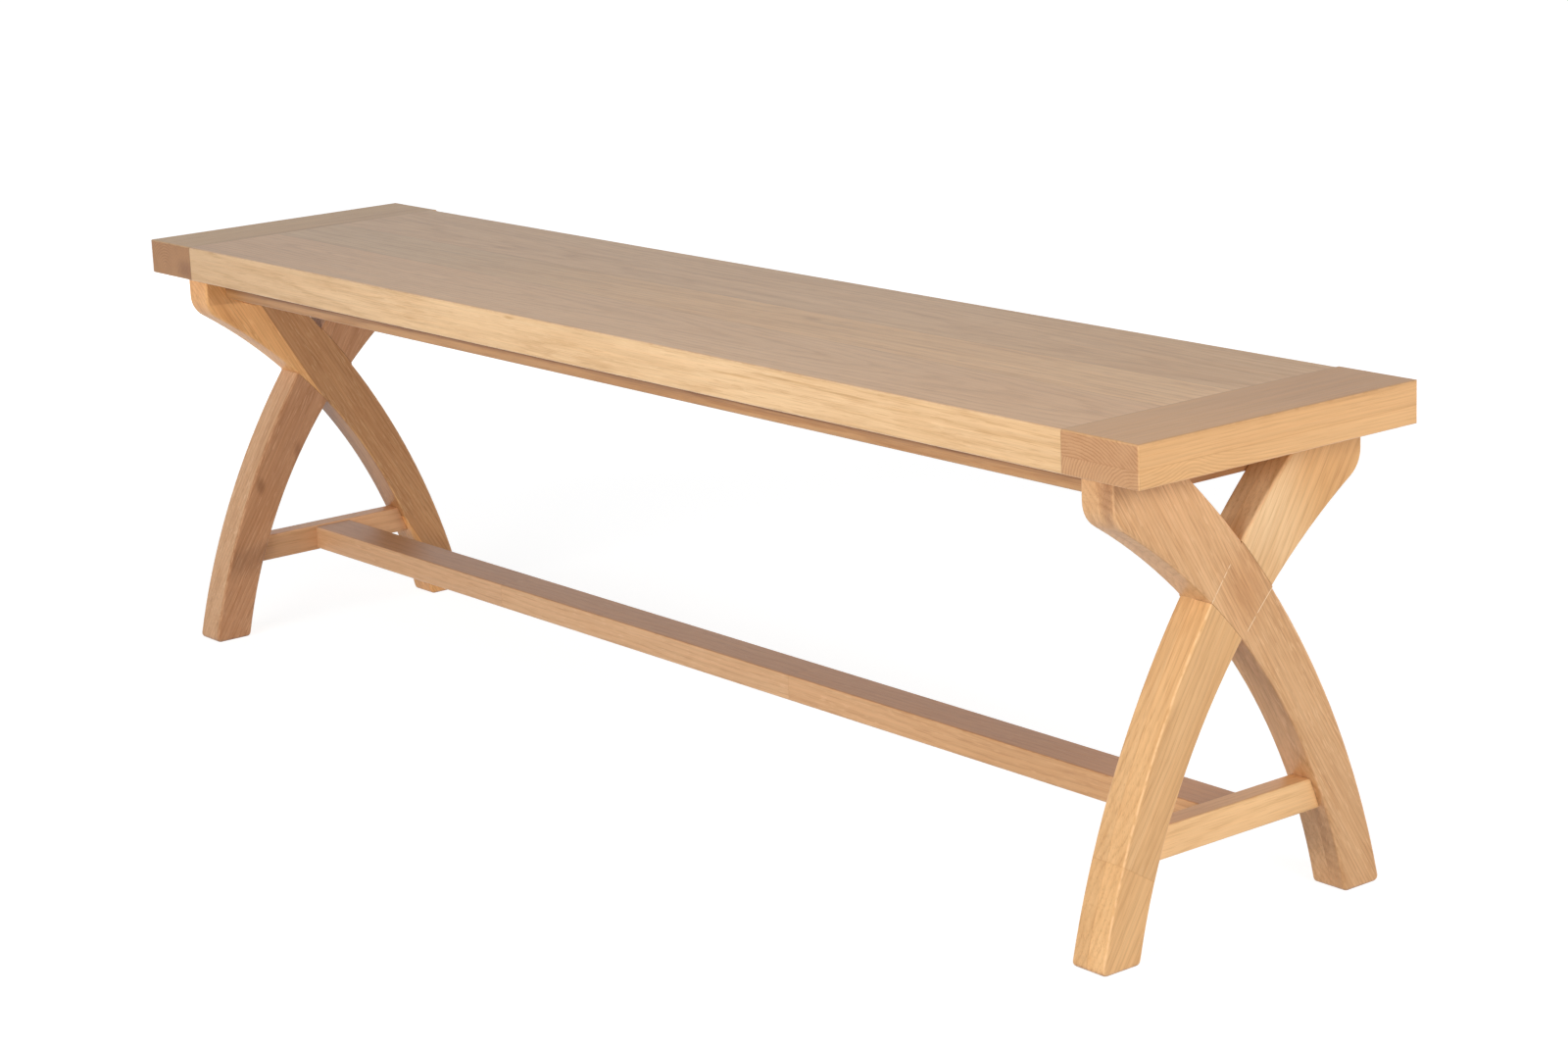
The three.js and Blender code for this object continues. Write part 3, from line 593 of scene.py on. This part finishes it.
def seat_materials():
    dress("seat_board_front", oak(
        "oak_seat_front", board_grain(ALONG_X, (0.48, -0.107, SEAT_TOP_Z)), (231, 194, 148),
        pith=(0.004, -0.052), spacing=0.0062, slope=0.055, rings=0.34, fibres=0.40, pores=0.36,
        # The top gain is painted light and shade: a pinker tint on the faces that look up
        flecks=0.12, tone=0.34, streaks=0.28, mottle=0.16, seed=1, top=(1.02, 0.94, 0.93),
        marks=hairlines(BOARD_ENDS + ((1, FRONT_SEAM_Y),), PALE_SEAM_SHADE),
        blobs=(
            # Brown streaks and a pin knot in the front face
            ((0.36, FRONT_FACE_Y, 0.4525), (0.075, 0.01, 0.0014), (0.80, 0.72, 0.62)),
            ((0.29, FRONT_FACE_Y, 0.4470), (0.050, 0.01, 0.0012), (0.84, 0.76, 0.66)),
            ((0.44, FRONT_FACE_Y, 0.4500), (0.045, 0.01, 0.0010), (0.82, 0.74, 0.64)),
            ((-0.078, FRONT_FACE_Y, 0.4565), (0.012, 0.01, 0.0020), (0.76, 0.68, 0.58)),
            # Painted shade at the left end, where less light falls, and a slightly browner right end
            ((-0.75, -0.1, 0.44), (0.45, 0.5, 0.5), (0.94, 0.92, 0.91)),
            ((-0.75, FRONT_FACE_Y, 0.44), (0.60, 0.02, 0.5), (0.90, 0.89, 0.89)),
            ((0.72, -0.1, 0.44), (0.35, 0.5, 0.5), (0.98, 0.95, 0.91)))))
    dress("seat_board_middle", oak(
        "oak_seat_middle", board_grain(ALONG_X, (0, -0.008, SEAT_TOP_Z)), (238, 192, 141),
        pith=(0.055, -0.12), spacing=0.0040, slope=0.012, rings=0.32, fibres=0.44, pores=0.38,
        tone=0.28, streaks=0.48, mottle=0.28, seed=2,
        marks=hairlines(BOARD_ENDS + ((1, FRONT_SEAM_Y), (1, REAR_SEAM_Y)), SEAM_SHADE),
        blobs=(
            # A small knot with its tail, a stain, and painted shade that dulls the left end, where less
            # light falls
            ((0.178, 0.010, SEAT_TOP_Z), (0.016, 0.006, 0.01), (0.80, 0.74, 0.68)),
            ((0.235, 0.006, SEAT_TOP_Z), (0.08, 0.006, 0.01), (0.88, 0.84, 0.80)),
            ((0.640, -0.030, SEAT_TOP_Z), (0.07, 0.010, 0.01), (0.92, 0.89, 0.86)),
            ((-0.65, -0.008, SEAT_TOP_Z), (0.60, 0.5, 0.5), (0.84, 0.89, 0.98)))))
    dress("seat_board_rear", oak(
        "oak_seat_rear", board_grain(ALONG_X, (-0.1, 0.097, SEAT_TOP_Z)), (222, 184, 141),
        pith=(-0.03, -0.09), spacing=0.0046, slope=0.02, rings=0.32, fibres=0.44, pores=0.38,
        # The top gain is painted light: a brighter top
        tone=0.28, streaks=0.46, mottle=0.28, seed=3, top=(1.05, 1.01, 1.00),
        marks=hairlines(BOARD_ENDS + ((1, REAR_SEAM_Y),), SEAM_SHADE),
        blobs=(((0.72, 0.1, SEAT_TOP_Z), (0.50, 0.5, 0.5), (0.96, 0.92, 0.83)),)))
    dress("end_board_right", oak(
        "oak_end_right", board_grain(ALONG_Y, (BOARD_END_X, -0.106, SEAT_BOTTOM_Z)), (229, 180, 125),
        pith=(-0.085, -0.005), spacing=0.0030, slope=0.008, bow=24.0, calm=0.35, wander=2.2,
        rings=0.66, fibres=0.24, pores=0.15, tone=0.16, seed=4,
        marks=hairlines(((0, BOARD_END_X),), PALE_SEAM_SHADE, END_SEAM_HALF_WIDTH),
        # The top gain is painted shade: a darker, browner top
        top=(0.90, 0.85, 0.80), end_grain=(0.73, 0.69, 0.75),
        # Glued up from a lower and an upper layer
        cuts=((2, 0.0165, (0.97, 0.95, 0.93), (0.075, -0.054)),),
        # Browner towards the rear of its top
        blobs=(((0.76, 0.14, SEAT_TOP_Z), (0.1, 0.20, 0.004), (0.86, 0.82, 0.78)),)))
    dress("end_board_left", oak(
        "oak_end_left", board_grain(ALONG_Y, (-0.755, 0, SEAT_BOTTOM_Z)), (211, 167, 114),
        pith=(0.012, 0.002), spacing=0.0032, slope=0.02, wander=3.0, rings=0.33, tone=0.18, seed=5,
        marks=hairlines(((0, -BOARD_END_X),), SEAM_SHADE, END_SEAM_HALF_WIDTH),
        end_grain=(0.63, 0.52, 0.46),
        blobs=(
            # A stain in the end grain, and brown grain beside the seam on top
            ((-0.722, FRONT_FACE_Y, 0.434), (0.022, 0.02, 0.012), (0.74, 0.66, 0.60)),
            ((-0.716, -0.02, SEAT_TOP_Z), (0.007, 0.16, 0.01), (0.84, 0.76, 0.66)),
            ((-0.733, 0.10, SEAT_TOP_Z), (0.010, 0.10, 0.01), (0.90, 0.84, 0.78)))))


def leg_materials():
    dress("leg_right_rear_foot", oak(
        "oak_leg_a_right", leg_grain("rear", FRAME_MIDDLE_X), (219, 172, 123),
        pith=(0.09, 0.06), spacing=0.0034, slope=0.03, rings=0.42, fibres=0.42, flecks=0.45,
        tone=0.8, streaks=0.4, mottle=0.5, square=False, seed=6, marks=lap_scribes,
        cuts=((2, 0.003, (0.98, 0.97, 0.97), (0.02, -0.03)),), end_grain=(0.66, 0.60, 0.56),
        blobs=(
            # Painted shade at the top's front edge, brown at the crossing, and painted shade under the end
            # board
            ((0.7445, -0.150, 0.405), (0.010, 0.014, 0.034), (0.74, 0.68, 0.66)),
            ((FRAME_OUTER_X, 0.005, 0.300), (0.020, 0.030, 0.050), (0.88, 0.80, 0.72)),
            ((FRAME_OUTER_X, -0.105, 0.426), (0.020, 0.075, 0.024), (0.66, 0.57, 0.50)))))
    dress("leg_right_front_foot", oak(
        "oak_leg_b_right", leg_grain("front", FRAME_MIDDLE_X), (219, 173, 121),
        pith=(0.12, 0.10), spacing=0.0052, slope=0.03, rings=0.34, fibres=0.36, tone=0.75,
        # Its arrises are drawn paler than the others': partly worn, partly a painted highlight
        streaks=0.32, mottle=0.35, square=False, wear_and_highlight=0.8, seed=7,
        cuts=((2, -0.001, (1.09, 1.09, 1.08), (0.0, 0.0)), (0, 0.253, (1.03, 1.01, 0.98), (0.0, 0.03))),
        blobs=(
            # Painted light that brightens the leg above the crossing, heartwood beside it, painted shade
            # under the end board, the paler foot
            ((0.735, 0.03, 0.365), (0.05, 0.06, 0.07), (1.22, 1.45, 1.85)),
            ((0.758, 0.10, 0.375), (0.012, 0.09, 0.08), (0.94, 0.88, 0.77)),
            ((FRAME_OUTER_X, 0.105, 0.426), (0.020, 0.075, 0.020), (0.78, 0.70, 0.62)),
            ((0.733, -0.15, 0.0), (0.1, 0.1, 0.12), (1.05, 1.09, 1.13)))))
    dress("leg_left_rear_foot", oak(
        "oak_leg_a_left", leg_grain("rear", -FRAME_MIDDLE_X), (239, 181, 119),
        pith=(0.10, 0.05), spacing=0.0036, slope=0.03, rings=0.45, fibres=0.45, flecks=0.6,
        tone=0.7, streaks=0.5, mottle=0.45, square=False, seed=8,
        cuts=((2, 0.0, (0.97, 0.96, 0.95), (0.0, 0.02)), (1, -0.024, (0.60, 0.57, 0.60), (0.0, 0.01)))))
    dress("leg_left_front_foot", oak(
        "oak_leg_b_left", leg_grain("front", -FRAME_MIDDLE_X), (210, 164, 122),
        pith=(0.12, 0.10), spacing=0.0040, slope=0.03, rings=0.42, fibres=0.45, flecks=0.6,
        tone=0.7, streaks=0.45, mottle=0.45, square=False, seed=9,
        cuts=((2, 0.0175, (0.81, 0.71, 0.67), (0.0, 0.02)),),
        # Two small knots
        blobs=(((-FRAME_INNER_X, -0.097, 0.173), (0.02, 0.007, 0.012), (0.66, 0.60, 0.54)),
               ((-FRAME_INNER_X, -0.045, 0.205), (0.02, 0.006, 0.016), (0.76, 0.70, 0.66)))))


def rail_materials():
    dress("foot_rail_right", oak(
        "oak_rail_right", board_grain(ALONG_Y, (RAIL_X, 0, RAIL_Z)), (245, 198, 142),
        pith=(0.08, -0.04), spacing=0.0044, slope=0.02, rings=0.20, fibres=0.31, pores=0.25,
        # The top gain is painted shade: a darker top under the seat
        tone=0.26, top=(0.82, 0.76, 0.74), seed=10))
    dress("foot_rail_left", oak(
        "oak_rail_left", board_grain(ALONG_Y, (-RAIL_X, 0, RAIL_Z)), (224, 174, 129),
        pith=(0.08, -0.04), spacing=0.0040, slope=0.02, rings=0.29, fibres=0.34, tone=0.14, seed=11))
    dress("stretcher", oak(
        "oak_stretcher", board_grain(ALONG_X, (0, 0, RAIL_Z)), (211, 166, 124),
        pith=(0.05, -0.09), spacing=0.0048, slope=0.012, rings=0.29, fibres=0.39, flecks=0.3,
        # The top gain is painted shade: a darker, browner top under the seat
        tone=0.26, top=(0.74, 0.63, 0.54), seed=12,
        # Jointed lengthways from three pieces
        cuts=((0, -0.338, (1.03, 1.04, 1.03), (0.01, 0.0)), (0, 0.16, (1.01, 0.99, 0.97), (0.0, 0.02))),
        # Browner towards its right end
        blobs=(((0.60, 0, RAIL_Z), (0.50, 0.5, 0.5), (0.96, 0.93, 0.86)),)))


def batten_materials():
    for i, name in enumerate(("apron_front", "apron_rear")):
        dress(name, oak(
            "oak_" + name, board_grain(ALONG_X, (0, 0, 0.41)), (188, 143, 98),
            pith=(0.04, -0.05), spacing=0.0030, slope=0.01, rings=0.5, fibres=0.5, tone=0.4,
            streaks=0.6, seed=13 + i,
            # Painted shadow: the dark line where the apron goes up behind the seat's edge, under its
            # overhang
            blobs=(((0, 0, 0.4115), (ALL_ROUND, ALL_ROUND, 0.0085), (0.36, 0.25, 0.20)),)))
    for i, name in enumerate(("cleat_left", "cleat_right")):
        dress(name, oak(
            "oak_" + name, board_grain(ALONG_Y, (0, 0, 0.40)), (196, 146, 102),
            pith=(0.05, -0.05), spacing=0.0036, slope=0.01, rings=0.4, fibres=0.5, tone=0.4,
            streaks=0.5, seed=16 + i))


def screw_materials():
    steel = plated_steel()
    for name in nodes:
        if "screw" in name:
            dress(name, steel)


def light_gate(net):
    """1 for rays from the camera, and for what shows in gloss or glass."""
    rays = net.add("ShaderNodeLightPath").outputs
    seen = net.plus(rays["Is Camera Ray"], rays["Is Glossy Ray"])
    return net.math("ADD", seen, rays["Is Transmission Ray"], clamp=True)


def floor():
    mesh = bpy.data.meshes.new("floor")
    reach = FLOOR_REACH
    corners = [(-reach, -reach, 0), (reach, -reach, 0), (reach, reach, 0), (-reach, reach, 0)]
    mesh.from_pydata(corners, [], [(0, 1, 2, 3)])
    obj = bpy.data.objects.new("floor", mesh)
    bpy.context.scene.collection.objects.link(obj)
    material, net = new_material("pale_floor")
    gate = light_gate(net)
    matt = net.add("ShaderNodeBsdfDiffuse")
    net.put(matt.inputs["Color"], net.mix(gate, (FLOOR_BOUNCE,) * 3, (FLOOR_SEEN,) * 3))
    glow = net.add("ShaderNodeEmission")
    away = net.vector("LENGTH", net.add("ShaderNodeTexCoord").outputs["Object"])
    rise = net.times(net.between(away, GLOW_NEAR_RADIUS, GLOW_FAR_RADIUS), GLOW_RISE)
    net.put(glow.inputs["Strength"], net.times(gate, net.plus(GLOW_NEAR, rise)))
    blend = net.add("ShaderNodeAddShader")
    net.put(blend.inputs[0], matt.outputs[0])
    net.put(blend.inputs[1], glow.outputs[0])
    end = net.add("ShaderNodeOutputMaterial")
    net.put(end.inputs[0], blend.outputs[0])
    mesh.materials.append(material)


def surroundings():
    world = bpy.data.worlds.new("studio")
    bpy.context.scene.world = world
    world.use_nodes = True
    tree = world.node_tree
    tree.nodes.clear()
    net = Net(tree)
    glow = net.add("ShaderNodeBackground")
    glow.inputs["Color"].default_value = (1, 1, 1, 1)
    net.put(glow.inputs["Strength"], net.plus(AMBIENT, net.times(light_gate(net), 1.0 - AMBIENT)))
    end = net.add("ShaderNodeOutputWorld")
    net.put(end.inputs[0], glow.outputs[0])


def softbox(name, place, target, width, height, power):
    """A lamp that lights the bench, but shows neither in the picture nor in the seat's sheen."""
    lamp = bpy.data.lights.new(name, "AREA")
    lamp.shape = "RECTANGLE"
    lamp.size = width
    lamp.size_y = height
    lamp.energy = power
    obj = bpy.data.objects.new(name, lamp)
    bpy.context.scene.collection.objects.link(obj)
    direction = Vector(target) - Vector(place)
    obj.rotation_euler = direction.to_track_quat("-Z", "Y").to_euler()
    obj.location = place
    obj.visible_camera = False
    obj.visible_glossy = False


def camera():
    turn = Matrix.Rotation(CAMERA_TURN.length, 3, CAMERA_TURN.normalized())
    place = -(turn.transposed() @ CAMERA_SHIFT)
    place.y -= BENCH_OFFSET_Y
    right, down, ahead = turn[0], turn[1], turn[2]
    lens = bpy.data.cameras.new("photo_camera")
    lens.sensor_fit = "HORIZONTAL"
    lens.sensor_width = SENSOR
    lens.lens = CAMERA_FOCAL_PX / PHOTO_SIZE[0] * SENSOR
    lens.clip_end = CLIP_END
    obj = bpy.data.objects.new("photo_camera", lens)
    bpy.context.scene.collection.objects.link(obj)
    axes = Matrix((right, -down, -ahead)).transposed()
    obj.matrix_world = Matrix.Translation(place) @ axes.to_4x4()
    bpy.context.scene.camera = obj


camera()
seat_materials()
leg_materials()
rail_materials()
batten_materials()
screw_materials()
floor()
surroundings()
for box in SOFTBOXES:
    softbox(*box)
bpy.context.scene.view_settings.view_transform = "Standard"
